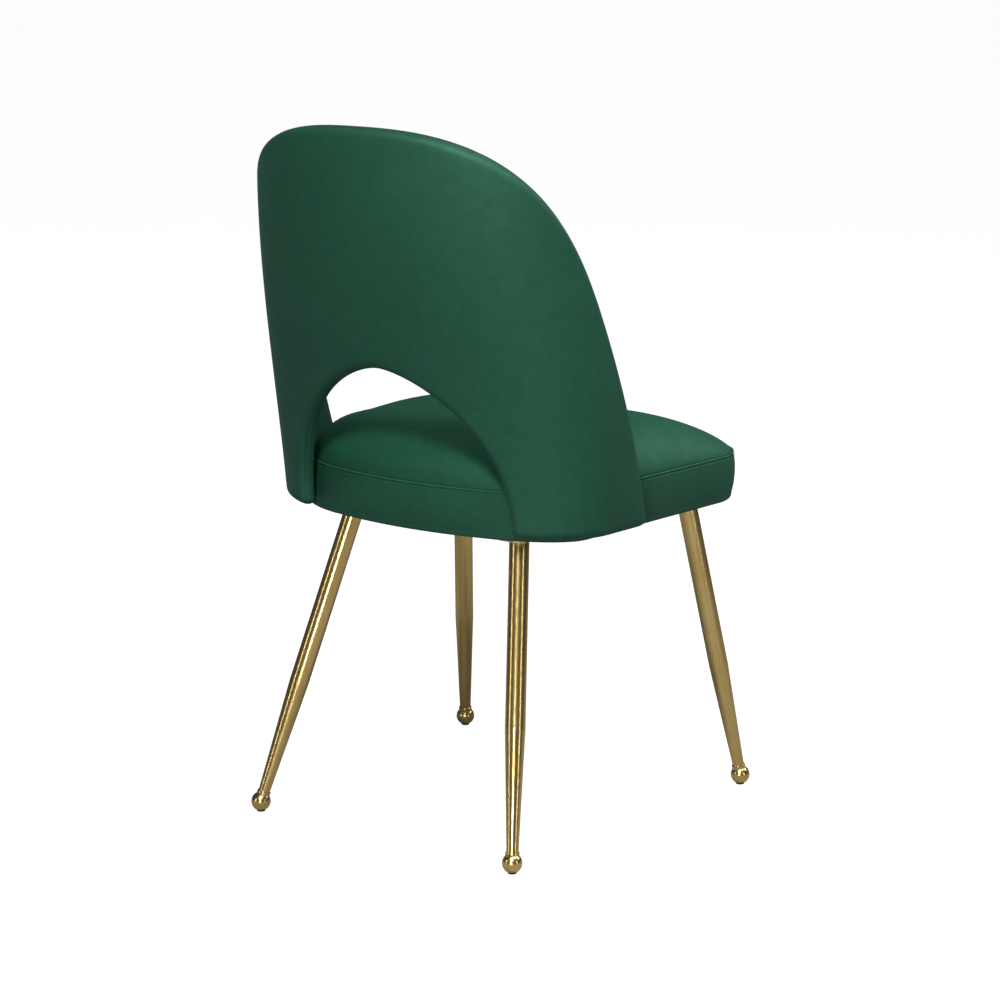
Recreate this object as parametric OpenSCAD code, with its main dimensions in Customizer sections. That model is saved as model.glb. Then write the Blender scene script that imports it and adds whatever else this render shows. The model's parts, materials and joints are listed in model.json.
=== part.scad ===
// Upholstered dining chair: an arched, wrap-round back on a round-backed seat, with four splayed tube legs.
// X runs across the chair, Y from the front (-) to the back (+), Z up from the floor.

/* [Overall] */
// Height of the top of the back
chair_h = 890; // [880:5:900]
// Height of the underside of the upholstered seat
seat_bottom_z = 390; // [385:1:395]
// Height of the stitched seam round the top of the seat
seam_z = 451; // [448:1:455]

/* [Seat] */
// Half the seat's width where its round back begins
seat_half_w = 216.5; // [212:0.5:217]
// Depth of the round back of the seat
seat_round_d = 88; // [84:1:88]
// Where the round back of the seat begins
seat_round_y = 89; // [85:1:90]
// Where the front corners of the seat end
seat_front_y = -264; // [-270:1:-260]
// How far the middle of the front edge bows out
front_bow = 11; // [5:1:14]
// Radius of the front corners
front_corner_r = 80; // [60:1:100]
// How much each side of the seat widens per millimetre towards the front
seat_widening = 0.045; // [0.02:0.005:0.045]
// Rise of the crowned top above its seam
crown_h = 60; // [50:1:64]

/* [Back] */
// Height of the lower edge of the back
back_bottom_z = 398; // [396:1:402]
// Thickness of the padded back
back_t = 28; // [26:1:30]
// Half the width of the back at its lower edge
back_half_w = 248.5; // [248.5:0.5:250]
// Half the width that the back would have at its very top
back_top_half_w = 235; // [230:1:245]
// Depth of the round part of the back at its lower edge
back_round_d = 131; // [131:0.5:133]
// Depth of the round part at the top
back_top_round_d = 147.5; // [140:0.5:152]
// Where the round part begins at the lower edge
back_round_y = 79; // [78:0.5:81]
// Where the round part begins at the top
back_top_round_y = 129.5; // [125:0.5:134]
// Length round the outer face from the middle of the back to the front edge of a wing
wing_girth = 374; // [365:1:380]
// Half the length round the outer face of the arched opening at its foot
arch_girth = 169; // [160:1:172]
// Height of the arched opening
arch_h = 200; // [190:1:205]

/* [Legs] */
// Diameter of the leg tubes
tube_d = 25; // [22:1:26]
// Diameter of a leg at its foot
tube_end_d = 15; // [14:0.5:17]
// Wall of the leg tubes
tube_wall = 1.5; // [1.2:0.1:2]
// Diameter of the ball feet
ball_d = 25; // [24:0.5:27]
// Height at which the tubes start to taper
taper_z = 166; // [120:1:200]
// Sideways place of the front feet
front_foot_x = 229.5; // [220:0.5:235]
// Front-to-back place of the front feet
front_foot_y = -242.5; // [-250:0.5:-235]
// Sideways place of the rear feet
rear_foot_x = 201.5; // [190:0.5:210]
// Front-to-back place of the rear feet
rear_foot_y = 225; // [215:0.5:235]
// Sideways place of the front legs under the seat
front_top_x = 182; // [175:0.5:185]
// Front-to-back place of the front legs under the seat
front_top_y = -176.5; // [-180:0.5:-170]
// Sideways place of the rear legs under the seat
rear_top_x = 131; // [125:0.5:140]
// Front-to-back place of the rear legs under the seat
rear_top_y = 116; // [110:0.5:118]

/* [Hidden] */

velvet = "#1c4a35";
foam_colour = "#e9dfb8";
wadding_colour = "#f4f4f0";
ply_colour = "#c9a877";
brass = "#b79a5b";
steel = "#8f9296";
black_cloth = "#1d1d1f";
nylon = "#2a2a2c";

clearance = 0.3;
cover_t = 1.5;
back_wadding_t = 3.5;
back_core_t = 9;
core_inner_depth = cover_t + back_wadding_t + back_core_t;
rim_r = 10;
core_inset = 12;
back_h = chair_h - back_bottom_z;

// ---------------------------------------------------------------- surface of the back

// The outer face is a stack of level sections. Each is half an ellipse round the back, run on forwards
// by almost straight wings. level is 0 at the lower edge and 1 at the top.
waist_bulge = 35.5;
waist_lift = 38.7;
round_bulge = 16;
round_sway = -77;
wing_flare = 0.054;
wing_flare_top = -0.06;
section_steps = 30;
section_power = 2.08;
wing_run = 400;

function mix(a, b, t) = a + (b - a) * t;
function half_width(t) =
  mix(back_half_w, back_top_half_w, t) + (waist_bulge + waist_lift * (1 - 2 * t)) * t * (1 - t);
function round_depth(t) = mix(back_round_d, back_top_round_d, t);
function round_y(t) =
  mix(back_round_y, back_top_round_y, t) + (round_bulge + round_sway * (1 - 2 * t)) * t * (1 - t);
function flare(t) = mix(wing_flare, wing_flare_top, t);

// One level section as points [x, y], from the middle of the back round to the tip of a long wing
function section_points(t) = [
  for (i = [0 : section_steps])
    let (angle = 90 * i / section_steps)
      [half_width(t) * pow(sin(angle), 2 / section_power),
       round_y(t) + round_depth(t) * pow(cos(angle), 2 / section_power)],
  [half_width(t) + wing_run * flare(t), round_y(t) - wing_run]
];
function girths(pts) = [
  for (i = 0, g = 0; i < len(pts); i = i + 1, g = i < len(pts) ? g + norm(pts[i] - pts[i - 1]) : 0) g
];
function girth_table(pts, g, axis) = [for (i = [0 : len(pts) - 1]) [g[i], pts[i][axis]]];

// Point of the back at girth s from the middle (signed), height z and depth d under the outer face
probe = 3;
function back_point(s, z, d) =
  let (
    t = (z - back_bottom_z) / back_h,
    pts = section_points(t),
    g = girths(pts),
    tx = girth_table(pts, g, 0),
    ty = girth_table(pts, g, 1),
    a = abs(s),
    run_x = lookup(a + probe, tx) - (a < probe ? -lookup(probe - a, tx) : lookup(a - probe, tx)),
    run_y = lookup(a + probe, ty) - lookup(abs(a - probe), ty),
    run = norm([run_x, run_y]),
    x = lookup(a, tx) + d * run_y / run,
    y = lookup(a, ty) - d * run_x / run
  )
    [s < 0 ? -x : x, y, z];

// ---------------------------------------------------------------- outline of the back, unrolled to [girth, height]

edge_power = 2.54;
edge_fall = 2.28;
edge_pull = 0.23;
edge_spread = 0.31;
edge_crowding = 2.5;
arch_power = 1.64;
arch_fall = 2.26;

function edge_at(u) =
  let (t = 1 - pow(1 - u, edge_crowding))
    [wing_girth * (1 - edge_pull * t + edge_spread * t * t) * pow(max(0, 1 - pow(t, edge_fall)), 1 / edge_power),
     back_bottom_z + t * back_h];
function arch_at(u) =
  let (t = 1 - pow(1 - u, arch_power))
    [arch_girth * pow(max(0, 1 - pow(t, arch_fall)), 1 / arch_power), back_bottom_z + t * arch_h];

slope_step = 0.01;
function unit(v) = v / norm(v);
function edge_inward(u) =
  u <= 0 ? [-1, 0]
  : u >= 1 ? [0, -1]
  : let (r = edge_at(min(1, u + slope_step)) - edge_at(u - slope_step)) unit([-r[1], r[0]]);
function arch_inward(u) =
  u <= 0 ? [1, 0]
  : u >= 1 ? [0, 1]
  : let (r = arch_at(min(1, u + slope_step)) - arch_at(u - slope_step)) unit([r[1], -r[0]]);

// Stations run from the foot of the right wing over the top to the foot of the left wing.
half_stations = 20;
function stations(inset) = concat(
  [[0, 1, inset]],
  [for (i = [0 : half_stations]) [i / half_stations, 1, i == 0 ? core_inset : 0]],
  [for (i = [half_stations - 1 : -1 : 0]) [i / half_stations, -1, i == 0 ? core_inset : 0]],
  [[0, -1, inset]]
);
function edge_spot(st, inset) = edge_at(st[0]) + inset * edge_inward(st[0]) + [0, st[2]];
function arch_spot(st, inset) = arch_at(st[0]) + inset * arch_inward(st[0]) + [0, st[2]];

across = 6;
// One row of points across the back at a station, from the arch to the outer edge
function row(st, inset, d, wide) =
  let (
    from = arch_spot(st, core_inset),
    to = edge_spot(st, core_inset),
    inner = [for (j = [0 : across]) mix(from, to, j / across)],
    spots = wide ? concat([arch_spot(st, inset)], inner, [edge_spot(st, inset)]) : inner
  )
    [for (p = spots) back_point(st[1] * p[0], p[1], d)];
function reversed(list) = [for (i = [len(list) - 1 : -1 : 0]) list[i]];

// Closed solid through rings. Each ring is a front row of m points and then a back row, reversed.
module skin(rings, m) {
  n = 2 * m;
  last = len(rings) - 1;
  points = [for (ring = rings) for (p = ring) p];
  sides = [
    for (i = [0 : last - 1])
      for (k = [0 : n - 1])
        let (
          a = i * n + k,
          b = i * n + (k + 1) % n,
          c = a + n,
          e = b + n
        )
          each (k < m ? [[a, b, e], [a, e, c]] : [[a, b, c], [b, e, c]])
  ];
  caps = [
    for (k = [0 : m - 2])
      let (
        a = k,
        b = k + 1,
        c = n - 1 - k,
        e = n - 2 - k,
        up = last * n
      )
        each [[a, c, b], [b, c, e], [up + a, up + b, up + c], [up + b, up + e, up + c]]
  ];
  polyhedron(points = points, faces = concat(sides, caps), convexity = 8);
}

// A layer of the back between two depths, each with its own inset from the outline
module back_layer(d0, inset0, d1, inset1) {
  st0 = stations(inset0);
  st1 = stations(inset1);
  skin(
    [for (i = [0 : len(st0) - 1]) concat(row(st0[i], inset0, d0, true), reversed(row(st1[i], inset1, d1, true)))],
    across + 3
  );
}
module core_layer(d0, d1) {
  st = stations(core_inset);
  skin(
    [for (i = [1 : len(st) - 2]) concat(row(st[i], core_inset, d0, false), reversed(row(st[i], core_inset, d1, false)))],
    across + 1
  );
}

// Half-round rim as [depth, inset] points: the outside of the edge strip, and its inside
rim_steps = 6;
function rim(grow) = [
  for (i = [0 : rim_steps])
    let (angle = -90 + 180 * i / rim_steps)
      [back_t / 2 + (back_t / 2 - grow) * sin(angle), rim_r - (rim_r - grow) * cos(angle)]
];
function strip_inside(d) = lookup(d, rim(cover_t));

// Solid swept along spots [girth, height, girth lean, height lean] with a section of [depth, inset] rows
module rim_sweep(spots, front, back) {
  skin(
    [for (p = spots)
      [for (q = concat(front, reversed(back))) back_point(p[0] + q[1] * p[2], p[1] + q[1] * p[3], q[0])]],
    len(front)
  );
}
// Spots along the lower edge of a wing, between its two corners
function foot_spots(side) = [
  for (j = [1 : across - 1]) [side * mix(arch_girth, wing_girth, j / across), back_bottom_z, 0, 1]
];
function edge_spots() = concat(
  [[arch_girth, back_bottom_z, 1, 1]],
  foot_spots(1),
  [[wing_girth, back_bottom_z, -1, 1]],
  [for (i = [1 : half_stations]) let (u = i / half_stations, p = edge_at(u), v = edge_inward(u)) [p[0], p[1], v[0], v[1]]],
  [for (i = [half_stations - 1 : -1 : 1])
    let (u = i / half_stations, p = edge_at(u), v = edge_inward(u)) [-p[0], p[1], -v[0], v[1]]],
  [[-wing_girth, back_bottom_z, 1, 1]],
  reversed(foot_spots(-1)),
  [[-arch_girth, back_bottom_z, -1, 1]]
);
function arch_spots() = concat(
  [[-arch_girth, back_bottom_z, -1, 1]],
  [for (i = [1 : half_stations]) let (u = i / half_stations, p = arch_at(u), v = arch_inward(u)) [-p[0], p[1], -v[0], v[1]]],
  [for (i = [half_stations - 1 : -1 : 1])
    let (u = i / half_stations, p = arch_at(u), v = arch_inward(u)) [p[0], p[1], v[0], v[1]]],
  [[arch_girth, back_bottom_z, 1, 1]]
);

// ---------------------------------------------------------------- bracket and bolt places

under_t = 1;
hem_w = 12;
board_t = 15;
board_z = seat_bottom_z + under_t;
board_inset = 6;
plate_t = 3;
plate_d = 62;
plate_bolt_circle = 46;
bolt_d = 6;
bolt_l = 16;
bolt_gap = 0.3;
head_d = 11;
head_h = 2.4;
socket_d = 4.6;
socket_deep = 2;
tee_flange_d = 19;
tee_flange_t = 1.2;
tee_barrel_d = 8;
tee_barrel_l = 10;
bracket_t = 2.5;
bracket_w = 34;
bracket_y = 54;
bracket_rise = 44;
bracket_reach = 58;
bracket_lean = 4.75;
bracket_turn = 2.7;
bracket_z = board_z + board_t;
core_lean_out = 2.1;
bracket_x = back_half_w - core_inner_depth + core_lean_out;
bracket_bolt_in = 14;
bracket_bolt_y = 10;
screw_d = 4.2;
screw_l = 7;
screw_head_d = 8;
screw_head_h = 2.4;
screw_up = [18, 34];
screw_y = 9;
fine = 32;

// Puts children at a bracket's upright face: X out of the chair, Y forward to back, Z up the core
module at_bracket(side) {
  mirror([side < 0 ? 1 : 0, 0, 0])
    translate([bracket_x, bracket_y, bracket_z])
      rotate([0, 0, bracket_turn])
        rotate([0, bracket_lean, 0])
          children();
}
module bracket_upright(grow) {
  translate([-bracket_t - grow, -bracket_w / 2 - grow, -grow])
    cube([bracket_t + 2 * grow, bracket_w + 2 * grow, bracket_rise + 2 * grow]);
}
// Room in the foam for a bracket's upright and the heads of its screws
module bracket_room(side) {
  low = screw_up[0] - screw_head_d / 2 - clearance;
  at_bracket(side) {
    bracket_upright(clearance);
    translate([-bracket_t - screw_head_h - clearance, -bracket_w / 2, low])
      cube([screw_head_h + clearance, bracket_w, bracket_rise - low]);
  }
}
module bracket_flat(side, grow) {
  mirror([side < 0 ? 1 : 0, 0, 0])
    translate([bracket_x - bracket_reach - grow, bracket_y - bracket_w / 2 - grow, bracket_z])
      cube([bracket_reach + grow, bracket_w + 2 * grow, bracket_t + grow]);
}
module at_bracket_screws(side) {
  at_bracket(side)
    for (y = [-screw_y, screw_y], z = screw_up)
      translate([0, y, z])
        rotate([0, 90, 0])
          children();
}
// Puts children upside down on the board, as if on its underside: Z down through the bracket and the board
module at_bracket_bolts(side) {
  for (y = [-bracket_bolt_y, bracket_bolt_y])
    translate([side * (bracket_x - bracket_reach + bracket_bolt_in), bracket_y + y, bracket_z + under_t])
      rotate([180, 0, 0])
        children();
}
// Room in the seat's foam for a bracket and the heads of its bolts
module bracket_seat_room(side) {
  bracket_flat(side, clearance);
  at_bracket_bolts(side)
    translate([0, 0, -(bracket_t - under_t) - head_h - clearance])
      cylinder(d = head_d + 2 * clearance, h = bracket_t + head_h, $fn = fine);
}

// ---------------------------------------------------------------- padded back

module back_core() {
  color(ply_colour)
    difference() {
      core_layer(cover_t + back_wadding_t, core_inner_depth);
      for (side = [-1, 1])
        at_bracket_screws(side)
          translate([0, 0, -bracket_t])
            cylinder(d = screw_d + 2 * bolt_gap, h = screw_l + bracket_t + clearance, $fn = fine);
    }
}
module back_wadding() {
  color(wadding_colour)
    back_layer(cover_t, rim_r, cover_t + back_wadding_t, strip_inside(cover_t + back_wadding_t));
}
module back_foam() {
  color(foam_colour)
    difference() {
      back_layer(core_inner_depth, strip_inside(core_inner_depth), back_t - cover_t, rim_r);
      for (side = [-1, 1]) {
        bracket_room(side);
        bracket_flat(side, clearance);
      }
    }
}
module back_edge_foam() {
  outer_d = cover_t + back_wadding_t;
  front = [[outer_d, core_inset], [core_inner_depth, core_inset]];
  back = [[outer_d, strip_inside(outer_d)], [core_inner_depth, strip_inside(core_inner_depth)]];
  color(foam_colour)
    difference() {
      union() {
        rim_sweep(edge_spots(), back, front);
        rim_sweep(arch_spots(), back, front);
      }
      for (side = [-1, 1]) {
        bracket_room(side);
        bracket_flat(side, clearance);
      }
    }
}
module back_outer_cover() {
  color(velvet)
    back_layer(0, rim_r, cover_t, rim_r);
}
module back_inner_cover() {
  color(velvet)
    difference() {
      back_layer(back_t - cover_t, rim_r, back_t, rim_r);
      for (side = [-1, 1])
        bracket_flat(side, clearance);
    }
}
module back_edge_strip() {
  color(velvet)
    difference() {
      rim_sweep(edge_spots(), rim(0), rim(cover_t));
      for (side = [-1, 1])
        bracket_flat(side, clearance);
    }
}
module back_arch_strip() {
  color(velvet)
    rim_sweep(arch_spots(), rim(0), rim(cover_t));
}

// ---------------------------------------------------------------- seat outline

seat_centre_y = -60;
round_steps = 26;
side_steps = 3;
corner_steps = 8;
bow_steps = 4;
function front_half_w(inset) = seat_half_w - inset + seat_widening * (seat_round_y - seat_front_y);

// Right half of the outline from the middle of the back to the middle of the front, as [x, y]
function seat_half(inset) =
  let (
    a = seat_half_w - inset,
    b = seat_round_d - inset,
    wide = front_half_w(inset),
    front = seat_front_y + inset,
    r = front_corner_r - inset,
    corner = [wide - r, front + r]
  )
    concat(
      [for (i = [0 : round_steps]) let (v = 90 * i / round_steps) [a * sin(v), seat_round_y + b * cos(v)]],
      [for (i = [1 : side_steps - 1]) mix([a, seat_round_y], [wide, corner[1]], i / side_steps)],
      [for (i = [0 : corner_steps]) let (v = 90 * i / corner_steps) corner + r * [cos(v), -sin(v)]],
      [for (i = [bow_steps - 1 : -1 : 0])
        let (x = corner[0] * i / bow_steps) [x, front - front_bow * (1 - pow(i / bow_steps, 2))]]
    );
function seat_outline(inset) =
  let (half = seat_half(inset))
    concat(half, [for (i = [len(half) - 2 : -1 : 1]) [-half[i][0], half[i][1]]]);
module seat_plan(inset) {
  polygon(seat_outline(inset));
}

// ---------------------------------------------------------------- crowned seat layers

side_power = 7.5;
front_power = 2;
crown_round = 0.8;
front_from = -0.3;
front_to = 0.9;
crown_rings = 6;
crown_shares = [for (j = [1 : crown_rings]) sin(90 * j / crown_rings)];
seat_wadding_t = 6;
seat_wadding_edge_t = 1;

function eased(t) = let (c = min(1, max(0, t))) c * c * (3 - 2 * c);
function crown_z(p, share) =
  let (
    run = p - [0, seat_centre_y],
    towards_front = eased((-run[1] / norm(run) - front_from) / (front_to - front_from))
  )
    seam_z + crown_h * pow(1 - pow(share, mix(side_power, front_power, towards_front)), crown_round);

// Rings of points [x, y, z] of the seat's top. drop is how far under the crown it lies.
function crown_ring(share, drop) = [
  for (p = seat_outline(cover_t)) let (q = [0, seat_centre_y] + share * (p - [0, seat_centre_y])) [q[0], q[1], crown_z(p, share) - drop]
];
function wadding_drop(share) = cover_t + mix(seat_wadding_t, seat_wadding_edge_t, pow(share, 2));
function level_ring(inset, z) = [for (p = seat_outline(inset)) [p[0], p[1], z]];
function flat_ring(share, z) = [
  for (p = seat_outline(cover_t)) [share * p[0], seat_centre_y + share * (p[1] - seat_centre_y), z]
];

// Closed solid between two stacks of rings that share a rim, each with a middle point
module crowned(top_rings, top_z, low_rings, low_z) {
  n = len(top_rings[0]);
  layers = concat(top_rings, reversed(low_rings));
  points = concat([[0, seat_centre_y, top_z]], [for (ring = layers) for (p = ring) p], [[0, seat_centre_y, low_z]]);
  end = len(points) - 1;
  faces = concat(
    [for (k = [0 : n - 1]) [0, 1 + k, 1 + (k + 1) % n]],
    [for (i = [0 : len(layers) - 2])
      for (k = [0 : n - 1])
        let (a = 1 + i * n + k, b = 1 + i * n + (k + 1) % n, c = a + n, e = b + n)
          each (i < len(top_rings) ? [[a, c, b], [b, c, e]] : [[a, e, b], [a, c, e]])],
    [for (k = [0 : n - 1]) [end, end - n + (k + 1) % n, end - n + k]]
  );
  polyhedron(points = points, faces = faces, convexity = 4);
}

module seat_top_cover() {
  color(velvet)
    crowned(
      concat([for (t = crown_shares) crown_ring(t, 0)], [level_ring(0, seam_z)]),
      seam_z + crown_h,
      concat([for (t = crown_shares) crown_ring(t, cover_t)], [level_ring(0, seam_z - cover_t)]),
      seam_z + crown_h - cover_t
    );
}
module seat_wadding() {
  color(wadding_colour)
    crowned(
      [for (t = crown_shares) crown_ring(t, cover_t)],
      seam_z + crown_h - cover_t,
      [for (t = crown_shares) crown_ring(t, wadding_drop(t))],
      seam_z + crown_h - wadding_drop(0)
    );
}
module seat_foam() {
  color(foam_colour)
    difference() {
      crowned(
        [for (t = crown_shares) crown_ring(t, wadding_drop(t))],
        seam_z + crown_h - wadding_drop(0),
        [for (t = [crown_shares[0], crown_shares[crown_rings - 1]]) flat_ring(t, board_z + board_t)],
        board_z + board_t
      );
      for (side = [-1, 1])
        bracket_seat_room(side);
    }
}
module seat_boxing() {
  color(velvet)
    difference() {
      translate([0, 0, seat_bottom_z]) {
        linear_extrude(height = under_t)
          difference() {
            seat_plan(0);
            seat_plan(hem_w);
          }
        translate([0, 0, under_t])
          linear_extrude(height = seam_z - cover_t - seat_bottom_z - under_t)
            difference() {
              seat_plan(0);
              seat_plan(cover_t);
            }
      }
      for (side = [-1, 1])
        bracket_flat(side, clearance);
    }
}

// Raised self-welt sewn into the seam round the top of the seat
welt_r = 1.2;
welt_sides = 6;
module seat_welt() {
  path = seat_outline(-welt_r);
  n = len(path);
  points = [
    for (i = [0 : n - 1])
      let (run = unit(path[(i + 1) % n] - path[(i + n - 1) % n]))
        for (k = [0 : welt_sides - 1])
          let (angle = 360 * (k + 0.5) / welt_sides, out = welt_r * cos(angle))
            [path[i][0] - out * run[1], path[i][1] + out * run[0], seam_z - cover_t / 2 + welt_r * sin(angle)]
  ];
  faces = [
    for (i = [0 : n - 1])
      for (k = [0 : welt_sides - 1])
        let (
          a = i * welt_sides + k,
          b = i * welt_sides + (k + 1) % welt_sides,
          c = ((i + 1) % n) * welt_sides + k,
          e = ((i + 1) % n) * welt_sides + (k + 1) % welt_sides
        )
          each [[a, c, b], [b, c, e]]
  ];
  color(velvet)
    polyhedron(points = points, faces = faces, convexity = 8);
}

// ---------------------------------------------------------------- seat board and what is fixed to it

corners = [[1, -1], [-1, -1], [1, 1], [-1, 1]];
function top_of(c) = c[1] < 0 ? [c[0] * front_top_x, front_top_y] : [c[0] * rear_top_x, rear_top_y];
function foot_of(c) = c[1] < 0 ? [c[0] * front_foot_x, front_foot_y] : [c[0] * rear_foot_x, rear_foot_y];
first_bolt = 45;
module at_plate_bolts(c) {
  translate([top_of(c)[0], top_of(c)[1], seat_bottom_z])
    for (i = [0 : 3])
      rotate([0, 0, first_bolt + 90 * i])
        translate([plate_bolt_circle / 2, 0, 0])
          children();
}
module at_all_plate_bolts() {
  for (c = corners)
    at_plate_bolts(c)
      children();
}

module tee_nut_hole() {
  cylinder(d = tee_barrel_d, h = under_t + board_t + 1, $fn = fine);
  translate([0, 0, under_t + board_t - tee_flange_t])
    cylinder(d = tee_flange_d, h = tee_flange_t + 1, $fn = fine);
}
module tee_nut() {
  top = under_t + board_t;
  difference() {
    union() {
      translate([0, 0, top - tee_flange_t])
        cylinder(d = tee_flange_d - bolt_gap, h = tee_flange_t, $fn = fine);
      translate([0, 0, top - tee_flange_t - tee_barrel_l])
        cylinder(d = tee_barrel_d - bolt_gap, h = tee_barrel_l, $fn = fine);
    }
    translate([0, 0, top - tee_barrel_l - tee_flange_t - 1])
      cylinder(d = bolt_d + bolt_gap, h = tee_barrel_l + tee_flange_t + 2, $fn = fine);
  }
}
// Button-head bolt that clamps a plate of thickness t up against the board
module bolt(t) {
  difference() {
    union() {
      translate([0, 0, -t])
        cylinder(d = bolt_d, h = bolt_l, $fn = fine);
      translate([0, 0, -t - head_h])
        cylinder(d1 = head_d * 0.72, d2 = head_d, h = head_h, $fn = fine);
    }
    translate([0, 0, -t - head_h - 1])
      cylinder(d = socket_d, h = socket_deep + 1, $fn = 6);
  }
}

module seat_board() {
  color(ply_colour)
    difference() {
      translate([0, 0, board_z])
        linear_extrude(height = board_t)
          seat_plan(board_inset);
      at_all_plate_bolts()
        tee_nut_hole();
      for (side = [-1, 1])
        at_bracket_bolts(side)
          tee_nut_hole();
    }
}
module seat_dust_cover() {
  color(black_cloth)
    difference() {
      translate([0, 0, seat_bottom_z])
        linear_extrude(height = under_t)
          seat_plan(hem_w + clearance);
      at_all_plate_bolts()
        cylinder(d = tee_barrel_d, h = under_t * 3, center = true, $fn = fine);
    }
}

staple_w = 10;
staple_t = 0.7;
staple_every = 2;
staple_inset = hem_w + 4;
// Crowns of the staples that hold the dust cover, all round but clear of the leg plates
module cover_staples() {
  path = seat_outline(staple_inset);
  n = len(path);
  color(steel)
    for (i = [1 : staple_every : n - 1])
      let (p = path[i], run = path[(i + 1) % n] - path[i - 1])
        if (min([for (c = corners) norm(p - top_of(c))]) > plate_d / 2 + staple_w)
          translate([p[0], p[1], seat_bottom_z - staple_t])
            rotate([0, 0, atan2(run[1], run[0])])
              translate([-staple_w / 2, -staple_t / 2, 0])
                cube([staple_w, staple_t, staple_t]);
}
module leg_tee_nuts() {
  color(steel)
    at_all_plate_bolts()
      tee_nut();
}
module leg_bolts() {
  color(steel)
    at_all_plate_bolts()
      bolt(plate_t);
}

module back_bracket(side) {
  color(steel)
    difference() {
      union() {
        at_bracket(side)
          bracket_upright(0);
        bracket_flat(side, 0);
      }
      at_bracket_bolts(side)
        cylinder(d = bolt_d + 2 * bolt_gap, h = 4 * bracket_t, center = true, $fn = fine);
      at_bracket_screws(side)
        cylinder(d = screw_d + 2 * bolt_gap, h = 4 * bracket_t, center = true, $fn = fine);
    }
}
module bracket_bolts() {
  color(steel)
    for (side = [-1, 1])
      at_bracket_bolts(side)
        bolt(bracket_t - under_t);
}
module bracket_tee_nuts() {
  color(steel)
    for (side = [-1, 1])
      at_bracket_bolts(side)
        tee_nut();
}
module bracket_screws() {
  color(steel)
    for (side = [-1, 1])
      at_bracket_screws(side) {
        translate([0, 0, -bracket_t])
          cylinder(d = screw_d, h = screw_l + bracket_t, $fn = fine);
        translate([0, 0, -bracket_t - screw_head_h])
          cylinder(d1 = screw_head_d * 0.7, d2 = screw_head_d, h = screw_head_h, $fn = fine);
      }
}

// ---------------------------------------------------------------- legs and feet

glide_d = 11;
glide_out = 0.8;
glide_in = 2.5;
ball_z = ball_d / 2 + glide_out - 0.3;
collar_d = 17.5;
collar_t = 2.5;
collar_up = ball_d / 2 - 1.2;
spigot_l = 22;
tube_seam = 45;
round_fn = 72;
leg_top_z = seat_bottom_z - plate_t;

function leg_rise() = leg_top_z - ball_z;
function leg_run(c) = top_of(c) - foot_of(c);
function leg_l(c) = norm([leg_run(c)[0], leg_run(c)[1], leg_rise()]);

// Puts children at a ball's middle with Z up along its leg
module along_leg(c) {
  translate([foot_of(c)[0], foot_of(c)[1], ball_z])
    rotate([0, acos(leg_rise() / leg_l(c)), atan2(leg_run(c)[1], leg_run(c)[0])])
      children();
}
module leg(c) {
  start = collar_up + collar_t;
  taper_l = (taper_z - ball_z) * leg_l(c) / leg_rise();
  color(brass)
    difference() {
      along_leg(c)
        rotate([0, 0, tube_seam])
          rotate_extrude($fn = round_fn)
            polygon([
              [tube_end_d / 2, start],
              [tube_d / 2, taper_l],
              [tube_d / 2, leg_l(c) + tube_d],
              [tube_d / 2 - tube_wall, leg_l(c) + tube_d],
              [tube_d / 2 - tube_wall, taper_l],
              [tube_end_d / 2 - tube_wall, start]
            ]);
      translate([top_of(c)[0] - plate_d, top_of(c)[1] - plate_d, leg_top_z])
        cube([2 * plate_d, 2 * plate_d, 3 * tube_d]);
    }
}
module leg_plate(c) {
  color(brass)
    difference() {
      translate([top_of(c)[0], top_of(c)[1], leg_top_z])
        cylinder(d = plate_d, h = plate_t, $fn = round_fn);
      at_plate_bolts(c)
        cylinder(d = bolt_d + 2 * bolt_gap, h = 4 * plate_t, center = true, $fn = fine);
    }
}
module foot(c) {
  color(brass)
    difference() {
      union() {
        translate([foot_of(c)[0], foot_of(c)[1], ball_z])
          sphere(d = ball_d, $fn = round_fn);
        along_leg(c) {
          cylinder(d = collar_d, h = collar_up + collar_t, $fn = round_fn);
          cylinder(d = tube_end_d - 2 * tube_wall - bolt_gap, h = collar_up + collar_t + spigot_l, $fn = round_fn);
        }
      }
      translate([foot_of(c)[0], foot_of(c)[1], -1])
        cylinder(d = glide_d, h = 1 + glide_out + glide_in, $fn = round_fn);
      translate([foot_of(c)[0] - ball_d, foot_of(c)[1] - ball_d, -ball_d])
        cube([2 * ball_d, 2 * ball_d, ball_d + glide_out]);
    }
}
module foot_glides() {
  color(nylon)
    for (c = corners)
      translate([foot_of(c)[0], foot_of(c)[1], 0])
        cylinder(d = glide_d - bolt_gap, h = glide_out + glide_in, $fn = round_fn);
}

// ---------------------------------------------------------------- nodes

back_core();
back_wadding();
back_foam();
back_edge_foam();
back_outer_cover();
back_inner_cover();
back_edge_strip();
back_arch_strip();
seat_board();
seat_foam();
seat_wadding();
seat_top_cover();
seat_boxing();
seat_welt();
seat_dust_cover();
cover_staples();
leg_tee_nuts();
leg_bolts();
foot_glides();
bracket_bolts();
bracket_tee_nuts();
bracket_screws();
leg_plate(corners[0]);  // leg_plate_front_left
leg_plate(corners[1]);  // leg_plate_front_right
leg_plate(corners[2]);  // leg_plate_rear_left
leg_plate(corners[3]);  // leg_plate_rear_right
leg(corners[0]);  // leg_front_left
leg(corners[1]);  // leg_front_right
leg(corners[2]);  // leg_rear_left
leg(corners[3]);  // leg_rear_right
foot(corners[0]);  // foot_front_left
foot(corners[1]);  // foot_front_right
foot(corners[2]);  // foot_rear_left
foot(corners[3]);  // foot_rear_right
back_bracket(1);  // back_bracket_left
back_bracket(-1);  // back_bracket_right
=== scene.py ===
"""Looks of an upholstered dining chair: a padded wrap-round back, a crowned seat and four brass legs."""

import json
import math

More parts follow.
